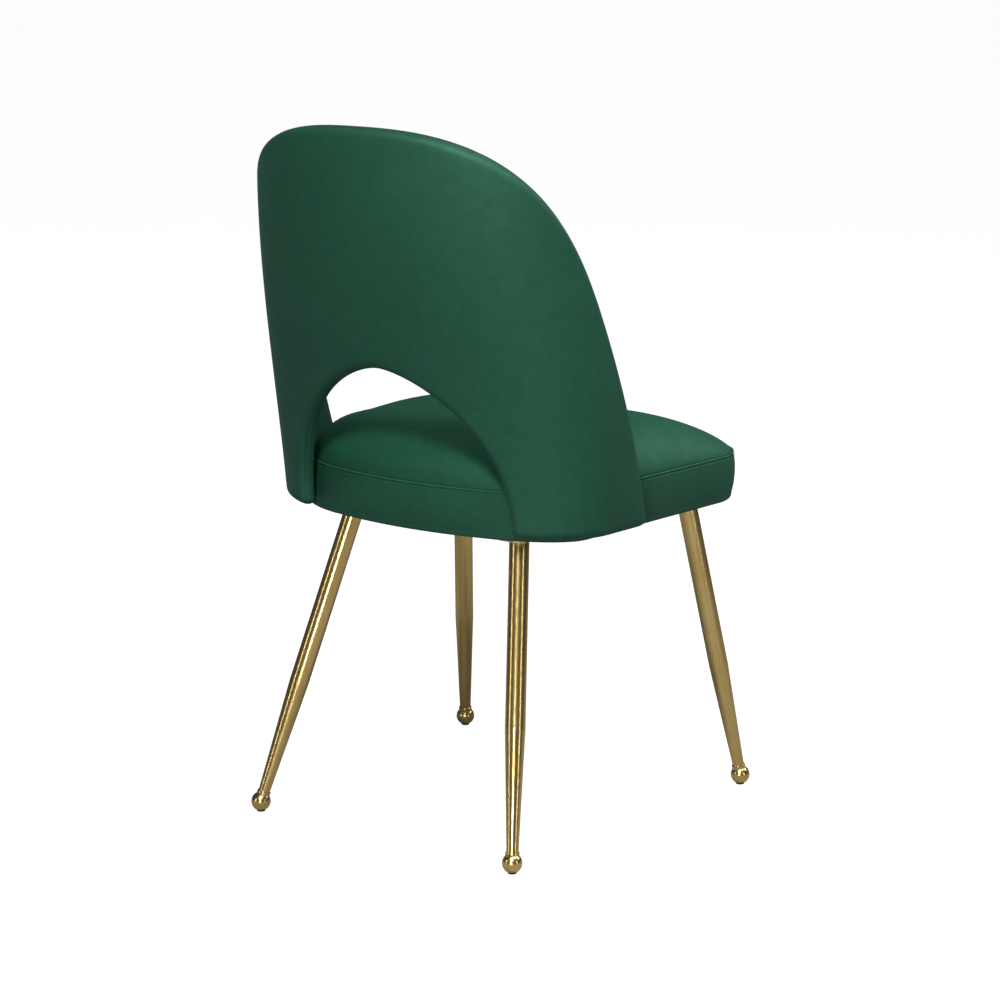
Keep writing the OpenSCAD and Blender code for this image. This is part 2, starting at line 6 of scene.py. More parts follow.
import bpy
import numpy as np
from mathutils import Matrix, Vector


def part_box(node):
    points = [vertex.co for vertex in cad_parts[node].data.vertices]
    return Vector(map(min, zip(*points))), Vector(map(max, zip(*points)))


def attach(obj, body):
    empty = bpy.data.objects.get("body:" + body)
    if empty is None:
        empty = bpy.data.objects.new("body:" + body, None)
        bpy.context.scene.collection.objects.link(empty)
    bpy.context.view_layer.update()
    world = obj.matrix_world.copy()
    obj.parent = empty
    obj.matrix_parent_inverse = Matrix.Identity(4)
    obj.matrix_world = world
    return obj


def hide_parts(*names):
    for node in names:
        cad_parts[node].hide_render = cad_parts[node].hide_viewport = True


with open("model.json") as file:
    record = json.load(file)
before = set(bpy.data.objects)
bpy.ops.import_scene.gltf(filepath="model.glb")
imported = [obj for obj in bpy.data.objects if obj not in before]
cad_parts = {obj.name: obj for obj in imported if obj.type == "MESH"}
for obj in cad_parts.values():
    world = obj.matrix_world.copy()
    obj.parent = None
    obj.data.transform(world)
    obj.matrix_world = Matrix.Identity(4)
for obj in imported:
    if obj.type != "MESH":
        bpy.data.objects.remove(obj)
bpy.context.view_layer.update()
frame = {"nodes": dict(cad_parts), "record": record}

# ---------------------------------------------------------------- camera

CAMERA_AZIMUTH = math.radians(216.93)
CAMERA_ELEVATION = math.radians(12.17)
CAMERA_DISTANCE = 3.763
CAMERA_TARGET = Vector((-0.0328, 0.0250, 0.4047))
CAMERA_LENS = 107.1


def make_camera():
    """The camera, aimed at the chair from behind and from its left."""
    back = Vector((
        math.sin(CAMERA_AZIMUTH) * math.cos(CAMERA_ELEVATION),
        -math.cos(CAMERA_AZIMUTH) * math.cos(CAMERA_ELEVATION),
        math.sin(CAMERA_ELEVATION),
    ))
    data = bpy.data.cameras.new("camera")
    data.lens = CAMERA_LENS
    data.sensor_width = 36
    data.clip_end = 50
    camera = bpy.data.objects.new("camera", data)
    bpy.context.scene.collection.objects.link(camera)
    camera.location = CAMERA_TARGET + back * CAMERA_DISTANCE
    camera.rotation_mode = "QUATERNION"
    camera.rotation_quaternion = (-back).to_track_quat("-Z", "Y")
    bpy.context.scene.camera = camera


# ---------------------------------------------------------------- small maths


def mix(a, b, t):
    """Runs from a to b as t runs from 0 to 1."""
    return a + (b - a) * t


def smooth(t):
    """An eased step: 0 up to t = 0, 1 from t = 1."""
    t = np.clip(t, 0, 1)
    return t * t * (3 - 2 * t)


def resample(points, count, closed=False):
    """count points evenly spaced along a polyline. A closed one doesn't repeat its first point."""
    path = np.vstack([points, points[:1]]) if closed else np.asarray(points)
    run = np.concatenate([[0], np.cumsum(np.linalg.norm(np.diff(path, axis=0), axis=1))])
    at = np.linspace(0, run[-1], count, endpoint=not closed)
    return np.column_stack([np.interp(at, run, path[:, k]) for k in range(path.shape[1])])


# ---------------------------------------------------------------- meshes


def volume_of(points, faces):
    """Six times the volume inside a closed surface, below zero if its faces look inward."""
    fans = np.array([(f[0], f[k], f[k + 1]) for f in faces for k in range(1, len(f) - 1)])
    a, b, c = (points[fans[:, k]] for k in range(3))
    return float((a * np.cross(b, c)).sum())


def mesh_piece(name, points, faces, material, body="root"):
    """A new object of a closed surface, with its faces turned outward, riding on a CAD body."""
    points = np.asarray(points)
    if volume_of(points, faces) < 0:
        faces = [tuple(reversed(f)) for f in faces]
    mesh = bpy.data.meshes.new(name)
    mesh.from_pydata([tuple(p) for p in points], [], [tuple(f) for f in faces])
    mesh.validate()
    mesh.shade_smooth()
    piece = bpy.data.objects.new(name, mesh)
    bpy.context.scene.collection.objects.link(piece)
    mesh.materials.append(material)
    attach(piece, body)
    return piece


def point_value(piece, name, values):
    """Stores one number per vertex, for the piece's material to read."""
    attribute = piece.data.attributes.new(name, "FLOAT", "POINT")
    attribute.data.foreach_set("value", np.asarray(values, np.float32))


def strip_faces(rows, columns, first=0, closed_rows=False, closed_columns=False, flip=False):
    """Quads between neighbouring rows of a grid whose points are numbered row by row."""
    faces = []
    for i in range(rows if closed_rows else rows - 1):
        for k in range(columns if closed_columns else columns - 1):
            a = first + i * columns + k
            b = first + i * columns + (k + 1) % columns
            c = first + (i + 1) % rows * columns + (k + 1) % columns
            d = first + (i + 1) % rows * columns + k
            faces.append((a, d, c, b) if flip else (a, b, c, d))
    return faces


# ---------------------------------------------------------------- surface of the back

BACK_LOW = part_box("back_edge_strip")[0].z
BACK_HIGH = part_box("back_edge_strip")[1].z
BACK_T = 0.028
CORE_OUTER = 0.005
CORE_INNER = 0.014
CORE_INSET = 0.012
SECTION_POWER = 2.08
WING_RUN = 0.4
WING_GIRTH = 0.374
ARCH_GIRTH = 0.169
ARCH_H = 0.200
PROBE = 0.006
BATCH = 20000
QUARTER = np.linspace(0, math.pi / 2, 121)

# each pair is the value at the foot of the back and the one at its top
HALF_WIDTHS = (0.2485, 0.235)
DEPTHS = (0.131, 0.1475)
MIDDLES = (0.079, 0.1295)
FLARES = (0.054, -0.06)

# how far the half width and the middle bow between foot and top: evenly, and more below than above
HALF_WIDTH_BOW = (0.0355, 0.0387)
MIDDLE_BOW = (0.016, -0.077)


def bow(t, even, lower):
    """A bow between levels 0 and 1."""
    return (even + lower * (1 - 2 * t)) * t * (1 - t)


def sections(t):
    """Level sections of the outer face at levels t (0 low, 1 high): x, y and girth, a row for each."""
    half_width = mix(*HALF_WIDTHS, t) + bow(t, *HALF_WIDTH_BOW)
    depth = mix(*DEPTHS, t)
    middle = mix(*MIDDLES, t) + bow(t, *MIDDLE_BOW)
    flare = mix(*FLARES, t)
    x = half_width[:, None] * np.sin(QUARTER) ** (2 / SECTION_POWER)
    y = middle[:, None] + depth[:, None] * np.clip(np.cos(QUARTER), 0, 1) ** (2 / SECTION_POWER)
    x = np.column_stack([x, half_width + WING_RUN * flare])
    y = np.column_stack([y, middle - WING_RUN])
    steps = np.hypot(np.diff(x, axis=1), np.diff(y, axis=1))
    girth = np.column_stack([np.zeros(len(t)), np.cumsum(steps, axis=1)])
    return x, y, girth


def on_sections(x, y, girth, s):
    """Points of the sections at signed girths s, one for each row."""
    a = np.abs(s)
    k = np.clip((girth < a[:, None]).sum(1), 1, girth.shape[1] - 1)
    i = np.arange(len(s))
    share = (a - girth[i, k - 1]) / (girth[i, k] - girth[i, k - 1])
    return np.where(s < 0, -1, 1) * mix(x[i, k - 1], x[i, k], share), mix(y[i, k - 1], y[i, k], share)


ARCH_POWERS = (1.64, 2.26)
ARCH_THINS = 0.45
ARCH_NEAR = 0.6


def thinned(s, z, depth):
    """Depths, with the sitter's side of the pad drawn in near the arch, where its cloth is pulled tight."""
    up = np.clip((z - BACK_LOW) / ARCH_H, 0, None)
    away = (np.abs(s) / ARCH_GIRTH) ** ARCH_POWERS[0] + up ** ARCH_POWERS[1] - 1
    near = smooth(1 - away / ARCH_NEAR)
    drawn = CORE_INNER + (depth - CORE_INNER) * (1 - ARCH_THINS * near)
    return np.where(depth > CORE_INNER, drawn, depth)


def back_points(s, z, depth):
    """Points of the back at girth s from its middle, height z and depth under the outer face."""
    s, z, depth = (a.ravel() for a in np.broadcast_arrays(s, z, depth))
    depth = thinned(s, z, depth)
    out = np.empty((len(s), 3))
    for first in range(0, len(s), BATCH):
        part = slice(first, first + BATCH)
        level = sections((z[part] - BACK_LOW) / (BACK_HIGH - BACK_LOW))
        x, y = on_sections(*level, s[part])
        x0, y0 = on_sections(*level, s[part] - PROBE)
        x1, y1 = on_sections(*level, s[part] + PROBE)
        run = np.hypot(x1 - x0, y1 - y0)
        out[part, 0] = x + depth[part] * (y1 - y0) / run
        out[part, 1] = y - depth[part] * (x1 - x0) / run
        out[part, 2] = z[part]
    return out


# ---------------------------------------------------------------- outline of the back, unrolled

CURVE_STEPS = 4000
EDGE_EASE = 2.5
EDGE_SWELL = (-0.23, 0.31)
EDGE_POWERS = (2.28, 2.54)


def edge_curve():
    """Outer edge of the back on +X as [girth, height], from its foot to the middle of the top."""
    u = np.linspace(0, 1, CURVE_STEPS)
    t = 1 - (1 - u) ** EDGE_EASE
    swell = 1 + EDGE_SWELL[0] * t + EDGE_SWELL[1] * t * t
    s = WING_GIRTH * swell * np.clip(1 - t ** EDGE_POWERS[0], 0, 1) ** (1 / EDGE_POWERS[1])
    return np.column_stack([s, mix(BACK_LOW, BACK_HIGH, t)])


def arch_curve():
    """Edge of the arch on +X as [girth, height], from its foot to its middle."""
    u = np.linspace(0, 1, CURVE_STEPS)
    t = 1 - (1 - u) ** ARCH_POWERS[0]
    s = ARCH_GIRTH * np.clip(1 - t ** ARCH_POWERS[1], 0, 1) ** (1 / ARCH_POWERS[0])
    return np.column_stack([s, BACK_LOW + ARCH_H * t])


HALF_STATIONS = 130
ACROSS = 40
MITRE_REACH = 0.024
CORNER_R = 0.009


def both_sides(half):
    """From the foot on +X over the top to the foot on -X."""
    return np.vstack([half, half[-2::-1] * [-1, 1]])


def inward(path, sign):
    """Inward direction at each point of a path, turned to a mitre at its two ends, and the corners' trim."""
    step = np.gradient(path, axis=0)
    step /= np.linalg.norm(step, axis=1)[:, None]
    normal = sign * np.column_stack([-step[:, 1], step[:, 0]])
    run = np.concatenate([[0], np.cumsum(np.linalg.norm(np.diff(path, axis=0), axis=1))])
    turned, trim = normal.copy(), np.zeros(len(path))
    for distance, along in ((run, step), (run[-1] - run, -step)):
        share = np.clip(1 - distance / MITRE_REACH, 0, 1)
        turned += share[:, None] * along
        trim += corner_trim(distance, share)
    return turned, trim


def corner_trim(distance, share):
    """How far in a rounded corner lies, at a distance from the sharp one, where the way in leans by share."""
    left = np.clip(CORNER_R - distance, 0, None)
    b = CORNER_R + share * left
    c = share ** 2 + 1
    return np.where(left > 0, (b - np.sqrt(np.clip(b * b - c * left ** 2, 0, None))) / c, 0)


EDGE = both_sides(resample(edge_curve(), HALF_STATIONS + 1))
ARCH = both_sides(resample(arch_curve(), HALF_STATIONS + 1))
EDGE_IN, EDGE_TRIM = inward(EDGE, 1)
ARCH_IN, ARCH_TRIM = inward(ARCH, -1)
STATIONS = len(EDGE)


def foot_path(side):
    """Lower edge of a wing from the arch to the wing's tip: outline, inward directions and corner trim."""
    f = np.linspace(0, 1, ACROSS + 1)
    path = np.column_stack([side * mix(ARCH_GIRTH, WING_GIRTH, f), np.full(len(f), BACK_LOW)])
    lean = side * (1 - 2 * f)
    distance = (WING_GIRTH - ARCH_GIRTH) * np.minimum(f, 1 - f)
    return path, np.column_stack([lean, np.ones(len(f))]), corner_trim(distance, np.abs(lean))


def perimeter():
    """The whole outline once round: foot on +X, edge, foot on -X, arch. Corners aren't repeated."""
    foot, foot_in, foot_trim = foot_path(1)
    other, other_in, other_trim = foot_path(-1)
    path = np.vstack([foot[:-1], EDGE[:-1], other[::-1][:-1], ARCH[::-1][:-1]])
    turned = np.vstack([foot_in[:-1], EDGE_IN[:-1], other_in[::-1][:-1], ARCH_IN[::-1][:-1]])
    trim = np.concatenate([foot_trim[:-1], EDGE_TRIM[:-1], other_trim[::-1][:-1], ARCH_TRIM[::-1][:-1]])
    return path, turned, trim


def grid_spots():
    """Spots [girth, height] of the panel inside its rim, station by station."""
    edge = EDGE + CORE_INSET * EDGE_IN
    arch = ARCH + CORE_INSET * ARCH_IN
    f = np.linspace(0, 1, ACROSS + 1)
    return mix(arch[:, None, :], edge[:, None, :], f[None, :, None])


def grid_border():
    """Numbers of the grid's border points, in the perimeter's order."""
    wide = ACROSS + 1
    foot = list(range(ACROSS))
    edge = [i * wide + ACROSS for i in range(STATIONS - 1)]
    other = [(STATIONS - 1) * wide + j for j in range(ACROSS, 0, -1)]
    arch = [i * wide for i in range(STATIONS - 1, 0, -1)]
    return foot + edge + other + arch


PATH, PATH_IN, PATH_TRIM = perimeter()


def rim_row(path, turned, trim, inset, depth):
    """Points along a stretch of the outline at one inset and depth."""
    reach = trim + (CORE_INSET - trim) * inset / CORE_INSET
    spots = path + reach[:, None] * turned
    return back_points(spots[:, 0], spots[:, 1], np.full(len(path), depth))


RIM_POWER = 2.5
OUTER_SEAM = math.radians(-27)
INNER_SEAM = math.radians(33)
SEAM_DEEP = 0.0028
# rim rows over which the painted seam shade fades in
SEAM_SHADE_FADE = 3
RIM_STEPS = 9
RIM_EASE = 0.8

# the turned-in edge of a pad, as steps in inset and depth from the last point of its rim
LIP = ((-0.0002, 0.0009), (0.0006, 0.0015), (SEAM_DEEP, 0.0012))
LIP_CLEAR = 0.001


def rim_at(angle):
    """(inset, depth) on the rim's rounded profile, at an angle from -90 degrees, outside, to 90, inside."""
    c, s = math.cos(angle), math.sin(angle)
    inset = CORE_INSET - CORE_INSET * abs(c) ** (2 / RIM_POWER)
    depth = BACK_T / 2 + (BACK_T / 2) * math.copysign(abs(s) ** (2 / RIM_POWER), s)
    return inset, depth


def padded_panel(name, face_depth, hidden_depth, seam, puff, material):
    """One closed pad of the back: its face, the rim up to the seam, the turned-in edge, the hidden side."""
    spots = grid_spots()
    wide = ACROSS + 1
    count = STATIONS * wide
    outside = face_depth < hidden_depth
    start = -math.pi / 2 if outside else math.pi / 2
    turn = 1 if outside else -1
    profile = [rim_at(mix(start, seam, (k / RIM_STEPS) ** RIM_EASE)) for k in range(1, RIM_STEPS + 1)]
    last_inset, last_depth = profile[-1]
    lip = [(last_inset + inset, last_depth + turn * depth) for inset, depth in LIP]
    lip.append((CORE_INSET - LIP_CLEAR, mix(last_depth, hidden_depth, 0.5)))
    face = back_points(spots[..., 0], spots[..., 1], face_depth - turn * puff)
    rows = [rim_row(PATH, PATH_IN, PATH_TRIM, i, d) for i, d in profile + lip]
    hidden = back_points(spots[..., 0], spots[..., 1], np.full(spots.shape[:2], hidden_depth))
    ring = len(PATH)
    points = np.vstack([face] + rows + [hidden])
    border = grid_border()
    loops = [border]
    loops += [[count + r * ring + k for k in range(ring)] for r in range(len(rows))]
    loops += [[count + len(rows) * ring + k for k in border]]
    faces = strip_faces(STATIONS, wide, 0, flip=not outside)
    faces += strip_faces(STATIONS, wide, count + len(rows) * ring, flip=outside)
    for inner, outer in zip(loops, loops[1:]):
        for k in range(ring):
            quad = (inner[k], outer[k], outer[(k + 1) % ring], inner[(k + 1) % ring])
            faces.append(quad if outside else quad[::-1])
    piece = mesh_piece(name, points, faces, material)
    # painted shade: the rim darkens towards the turned-in seam, where shade falls in the crease
    seam_shade = np.zeros(len(points))
    for r in range(len(rows)):
        value = np.clip((r - RIM_STEPS + SEAM_SHADE_FADE) / SEAM_SHADE_FADE, 0, 1)
        seam_shade[count + r * ring:count + (r + 1) * ring] = value
    point_value(piece, "seam", seam_shade)
    held = np.concatenate([np.zeros(count), np.ones(len(points) - count)])
    held[border] = 1
    return piece, held


STRIP_STEPS = 10
STRIP_SWELL = 0.0006
STRIP_LIP = ((SEAM_DEEP, 0.0008), (0.0006, 0.0005))
STRIP_CLEAR = 0.0012


def band_piece(name, runs, material):
    """Closed strip along stretches of the outline, filling the rim between the two covers."""
    path = np.vstack([r[0] for r in runs])
    turned = np.vstack([r[1] for r in runs])
    trim = np.concatenate([r[2] for r in runs])
    face = []
    for k in range(STRIP_STEPS + 1):
        f = k / STRIP_STEPS
        inset, depth = rim_at(mix(OUTER_SEAM, INNER_SEAM, f))
        inset -= STRIP_SWELL * math.sin(math.pi * f) ** 0.6
        face.append((inset, depth))
    first, last = face[0], face[-1]
    outer_lip = [(first[0] + inset, first[1] + depth) for inset, depth in STRIP_LIP]
    inner_lip = [(last[0] + inset, last[1] - depth) for inset, depth in reversed(STRIP_LIP)]
    hidden = [(CORE_INSET - STRIP_CLEAR, mix(first[1], last[1], share)) for share in (0.7, 0.3)]
    profile = outer_lip + face[1:-1] + inner_lip + hidden
    wide = len(profile)
    rows = np.stack([rim_row(path, turned, trim, i, d) for i, d in profile], axis=1)
    points = rows.reshape(-1, 3)
    faces = strip_faces(len(path), wide, closed_columns=True, flip=True)
    faces += [tuple(range(wide)), tuple(range(len(points) - 1, len(points) - wide - 1, -1))]
    piece = mesh_piece(name, points, faces, material)
    # painted shade: the lips tucked into the seams are marked to be darkened
    value = [1.0 if k < len(STRIP_LIP) or k > STRIP_STEPS + 1 else 0.0 for k in range(wide)]
    point_value(piece, "seam", np.tile(value, len(path)))
    return piece


# ---------------------------------------------------------------- seat

SEAT_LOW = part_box("seat_boxing")[0].z
SEAM_RISE = 0.0015
SEAM_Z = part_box("seat_boxing")[1].z + SEAM_RISE
BOARD_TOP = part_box("seat_board")[1].z
SEAT_HALF_W = 0.2165
SEAT_ROUND_D = 0.088
SEAT_ROUND_Y = 0.089
SEAT_FRONT_Y = -0.264
FRONT_BOW = 0.011
FRONT_CORNER_R = 0.080
SEAT_WIDENING = 0.045
SEAT_CENTRE = np.array([0.0, -0.060])
SEAT_RINGS = 44
SIDE_POWER = 7.5
FRONT_POWER = 2.0
CROWN_ROUND = 0.8
CROWN_H = 0.060
FRONT_FROM = -0.3
FRONT_TO = 0.9
OUTLINE_STEPS = 200


def seat_outline(inset, count):
    """Outline of the seat from the middle of its back, round by +X, as count even points."""
    a = SEAT_HALF_W - inset
    b = SEAT_ROUND_D - inset
    wide = a + SEAT_WIDENING * (SEAT_ROUND_Y - SEAT_FRONT_Y)
    front = SEAT_FRONT_Y + inset
    r = FRONT_CORNER_R - inset
    corner = np.array([wide - r, front + r])
    turn = np.linspace(0, math.pi / 2, OUTLINE_STEPS)
    rear = np.column_stack([a * np.sin(turn), SEAT_ROUND_Y + b * np.cos(turn)])
    arc = corner + r * np.column_stack([np.cos(turn), -np.sin(turn)])
    x = np.linspace(corner[0], 0, OUTLINE_STEPS)
    bow = np.column_stack([x, front - FRONT_BOW * (1 - (x / corner[0]) ** 2)])
    half = np.vstack([rear, arc, bow[1:]])
    return resample(np.vstack([half, (half * [-1, 1])[-2:0:-1]]), count, closed=True)


def crown(outline, share):
    """Height of the crowned top over the seam at a share of the way out to each outline point."""
    run = outline - SEAT_CENTRE
    forward = -run[:, 1] / np.linalg.norm(run, axis=1)
    power = mix(SIDE_POWER, FRONT_POWER, smooth((forward - FRONT_FROM) / (FRONT_TO - FRONT_FROM)))
    return CROWN_H * np.clip(1 - share ** power, 0, 1) ** CROWN_ROUND


def square_numbers(n):
    """Ring of each point in a square grid of 2n+1 by 2n+1, and its place round that ring from 0 to 1."""
    i, j = np.meshgrid(np.arange(-n, n + 1), np.arange(-n, n + 1), indexing="ij")
    ring = np.maximum(np.abs(i), np.abs(j))
    r = np.maximum(ring, 1)
    place = np.where(j == r, i / r, 0)
    place = np.where((i == r) & (j != r), 2 - j / r, place)
    place = np.where((j == -r) & (i != r), 4 - i / r, place)
    place = np.where((i == -r) & (np.abs(j) != r), 6 + j / r, place)
    return ring, (place % 8) / 8


def on_outline(outline, place):
    """Points of a closed outline at places from 0 to 1 round it."""
    at = place * len(outline)
    k = np.floor(at).astype(int) % len(outline)
    share = (at - np.floor(at))[..., None]
    return mix(outline[k], outline[(k + 1) % len(outline)], share)


def ring_numbers(n):
    """Numbers of the square grid's border points, going round as the outline does."""
    ring, place = square_numbers(n)
    flat = np.flatnonzero(ring.ravel() == n)
    return flat[np.argsort(place.ravel()[flat], kind="stable")]


CUSHION_INSET = 0.0015
CUSHION_EASE = 1.35
CUSHION_FOLD = (0.0024, 0.0022)
CUSHION_TUCK = 0.006
BASE_CLEAR = 0.0004


def seat_cushion(material):
    """Closed crowned cushion. Its lower part is hidden inside the boxing band."""
    n = SEAT_RINGS
    ring, place = square_numbers(n)
    ring, place = ring.ravel(), place.ravel()
    wide = 2 * n + 1
    around = 8 * n
    rim = on_outline(seat_outline(CUSHION_INSET, around), place)
    share = ring / n
    eased = 1 - (1 - share) ** CUSHION_EASE
    spots = mix(SEAT_CENTRE[None, :], rim, eased[:, None])
    height = SEAM_Z + crown(rim, eased)
    top = np.column_stack([spots, height])
    count = len(top)
    border = ring_numbers(n)
    folded = seat_outline(CUSHION_FOLD[0], around)
    inner = seat_outline(CUSHION_TUCK, around)
    rows = [
        np.column_stack([folded, np.full(around, SEAM_Z - CUSHION_FOLD[1])]),
        np.column_stack([inner, np.full(around, SEAM_Z - CUSHION_TUCK)]),
        np.column_stack([inner, np.full(around, mix(SEAM_Z, BOARD_TOP, 0.6))]),
    ]
    base_spots = mix(SEAT_CENTRE[None, :], on_outline(inner, place), share[:, None])
    base = np.column_stack([base_spots, np.full(count, BOARD_TOP + BASE_CLEAR)])
    points = np.vstack([top] + rows + [base])
    faces = strip_faces(wide, wide, 0, flip=True)
    faces += strip_faces(wide, wide, count + len(rows) * around)
    loops = [list(border)]
    loops += [[count + r * around + k for k in range(around)] for r in range(len(rows))]
    loops += [[count + len(rows) * around + k for k in border]]
    for upper, lower in zip(loops, loops[1:]):
        for k in range(around):
            faces.append((upper[k], upper[(k + 1) % around], lower[(k + 1) % around], lower[k]))
    piece = mesh_piece("seat_cushion", points, faces, material)
    # painted shade: the top darkens as it nears the seam, and the tucked rows under it are darkened
    near_seam_shade = smooth((eased - 0.955) / 0.04)
    point_value(piece, "seam", np.concatenate([near_seam_shade, np.ones(len(rows) * around), np.zeros(count)]))
    held = np.concatenate([(ring >= n - 1).astype(float), np.ones(len(points) - count)])
    return piece, held


WING_FROM = (0.10, -0.035)
WING_FADE = (0.05, 0.04)


def seat_free(path):
    """1 where nothing lies against the seat's side, 0 where a wing of the back does."""
    beside = smooth((np.abs(path[:, 0]) - WING_FROM[0]) / WING_FADE[0])
    behind = smooth((path[:, 1] - WING_FROM[1]) / WING_FADE[1])
    return 1 - beside * behind


def outward_of(path):
    """Outward directions in plan along a closed outline."""
    step = np.roll(path, -1, axis=0) - np.roll(path, 1, axis=0)
    step /= np.linalg.norm(step, axis=1)[:, None]
    return np.column_stack([-step[:, 1], step[:, 0]])


BAND_STEPS = 14
BAND_BULGE = 0.0026
BAND_TAPER = 0.0022
BAND_ROUND = 0.0032
BAND_STAND = 0.0006
BAND_TOP = 0.002
BAND_INSET = 0.0052
HEM_W = 0.012
HEM_T = 0.001

# the folded upper edge of the band: how far it lies out of the outline, and how far under the seam
BAND_FOLD = ((-0.0036, 0.0050), (-0.0016, 0.0022), (-0.0004, 0.0015), (0.0004, 0.0021))


def band_outward(f, free):
    """How far the boxing band stands out of the seat's outline at a share of the way down."""
    bulge = math.sin(math.pi * min(1, f * 1.15)) ** 0.7
    return free * BAND_BULGE * bulge - BAND_TAPER * free * f ** 2


def seat_band(material):
    """Boxing band round the seat, closed, from its seam down to the turned-under hem."""
    around = 8 * SEAT_RINGS
    drop = SEAM_Z - SEAT_LOW
    path = seat_outline(0, around)
    out = outward_of(path)
    free = seat_free(path)
    level = np.ones(around)
    rows = []

    def row(outward, z):
        rows.append(np.column_stack([path + outward[:, None] * out, np.full(around, z)]))

    for outward, under in BAND_FOLD:
        row(outward * level, SEAM_Z - under)
    for k in range(1, BAND_STEPS + 1):
        f = k / BAND_STEPS * (1 - BAND_ROUND / drop)
        row(BAND_STAND + band_outward(f, free), SEAM_Z - BAND_TOP - f * (drop - BAND_TOP))
    low = BAND_STAND + band_outward(1.0, free)
    for angle in (30, 60, 90):
        a = math.radians(angle)
        row(low - BAND_ROUND * (1 - math.cos(a)), SEAT_LOW + BAND_ROUND * (1 - math.sin(a)))
    row(-HEM_W * level, SEAT_LOW)
    row(-HEM_W * level, SEAT_LOW + HEM_T)
    row(-BAND_INSET * level, SEAT_LOW + 0.0015)
    row(-BAND_INSET * level, SEAM_Z - 0.0075)
    points = np.vstack(rows)
    faces = strip_faces(len(rows), around, closed_rows=True, closed_columns=True, flip=True)
    piece = mesh_piece("seat_boxing_band", points, faces, material)
    # painted shade: the folded upper edge in the seam is marked to be darkened
    value = np.zeros((len(rows), around))
    value[:len(BAND_FOLD)] = 1
    point_value(piece, "seam", value.ravel())
    return piece


COVER_STEPS = 14
COVER_SAG = 0.0022
COVER_T = 0.0009
COVER_CLEAR = 0.0002
PUCKERS = 36
PUCKER_H = 0.0003


def dust_cover(material):
    """Closed thin cloth under the board, tight at its folded edge and a little slack between the legs."""
    n = COVER_STEPS
    ring, place = square_numbers(n)
    ring, place = ring.ravel(), place.ravel()
    rim = on_outline(seat_outline(HEM_W + COVER_CLEAR, 8 * n), place)
    share = ring / n
    spots = mix(SEAT_CENTRE[None, :], rim, share[:, None])
    puckers = PUCKER_H * np.sin(place * 2 * math.pi * PUCKERS) * share ** 6
    waves = 0.6 + 0.4 * np.cos(spots[:, 0] * 24) * np.cos(spots[:, 1] * 20)
    low = SEAT_LOW - COVER_SAG * (1 - share ** 2) * waves + puckers
    under = np.column_stack([spots, low])
    over = np.column_stack([spots, low + COVER_T])
    wide = 2 * n + 1
    border = ring_numbers(n)
    faces = strip_faces(wide, wide, 0)
    faces += strip_faces(wide, wide, len(under), flip=True)
    for a, b in zip(border, np.roll(border, -1)):
        faces.append((a, b, len(under) + b, len(under) + a))
    return mesh_piece("dust_cover_cloth", np.vstack([under, over]), faces, material)


def tube(points, sides, radius_along, normal):
    """Rings of a tube along points, with a radius at each and a normal that lies across the path."""
    step = np.gradient(points, axis=0)
    step /= np.linalg.norm(step, axis=1)[:, None]
    side = np.cross(step, normal)
    side /= np.linalg.norm(side, axis=1)[:, None]
    up = np.cross(side, step)
    angle = np.linspace(0, 2 * math.pi, sides, endpoint=False)
    cosine, sine = np.cos(angle)[None, :, None], np.sin(angle)[None, :, None]
    ring = side[:, None, :] * cosine + up[:, None, :] * sine
    return points[:, None, :] + ring * np.asarray(radius_along)[:, None, None]


WELT_R = 0.0012
WELT_SIDES = 8
WELT_OUT = 0.0002
WELT_UNDER = 0.0008


def seat_welt(material):
    """Thin self-welt sewn into the seam round the top of the seat."""
    around = 8 * SEAT_RINGS
    path = np.column_stack([seat_outline(-WELT_OUT, around), np.full(around, SEAM_Z - WELT_UNDER)])
    closed = np.vstack([path[-1:], path, path[:1]])
    rings = tube(closed, WELT_SIDES, np.full(len(closed), WELT_R), np.array([0, 0, 1.0]))[1:-1]
    faces = strip_faces(around, WELT_SIDES, closed_rows=True, closed_columns=True)
    return mesh_piece("seat_welt_fold", rings.reshape(-1, 3), faces, material)


STITCH_L = 0.0026
STITCH_EVERY = 0.0038
STITCH_R = 0.00028
STITCH_TAPER = np.array([0.35, 0.9, 1, 0.9, 0.35])
STITCH_SIDES = 6
STITCH_ARCH = 0.0012
STITCH_UNDER = 0.0045
STITCH_OUT = 0.0007


def stitches(name, path, outward, material):
    """A row of short threads round a closed path, each arched a little out of the cloth."""
    run = np.linalg.norm(np.diff(path, axis=0), axis=1).sum()
    count = int(run / STITCH_EVERY)
    spots = resample(path, count * 4, closed=True)
    outs = resample(outward, count * 4, closed=True)
    rings_each = len(STITCH_TAPER)
    last_ring = (rings_each - 1) * STITCH_SIDES
    points, faces = [], []
    for k in range(0, count * 4 - 4, 4):
        along = spots[k + 2] - spots[k]
        along /= max(np.linalg.norm(along), 1e-9)
        out = outs[k] / max(np.linalg.norm(outs[k]), 1e-9)
        f = np.linspace(-0.5, 0.5, rings_each)[:, None]
        line = spots[k] + f * STITCH_L * along + (0.25 - f ** 2) * STITCH_ARCH * out
        rings = tube(line, STITCH_SIDES, STITCH_R * STITCH_TAPER, out)
        first = len(points) * rings_each * STITCH_SIDES
        points.append(rings.reshape(-1, 3))
        faces += strip_faces(rings_each, STITCH_SIDES, first, closed_columns=True)
        faces.append(tuple(first + q for q in reversed(range(STITCH_SIDES))))
        faces.append(tuple(first + last_ring + q for q in range(STITCH_SIDES)))
    return mesh_piece(name, np.vstack(points), faces, material)


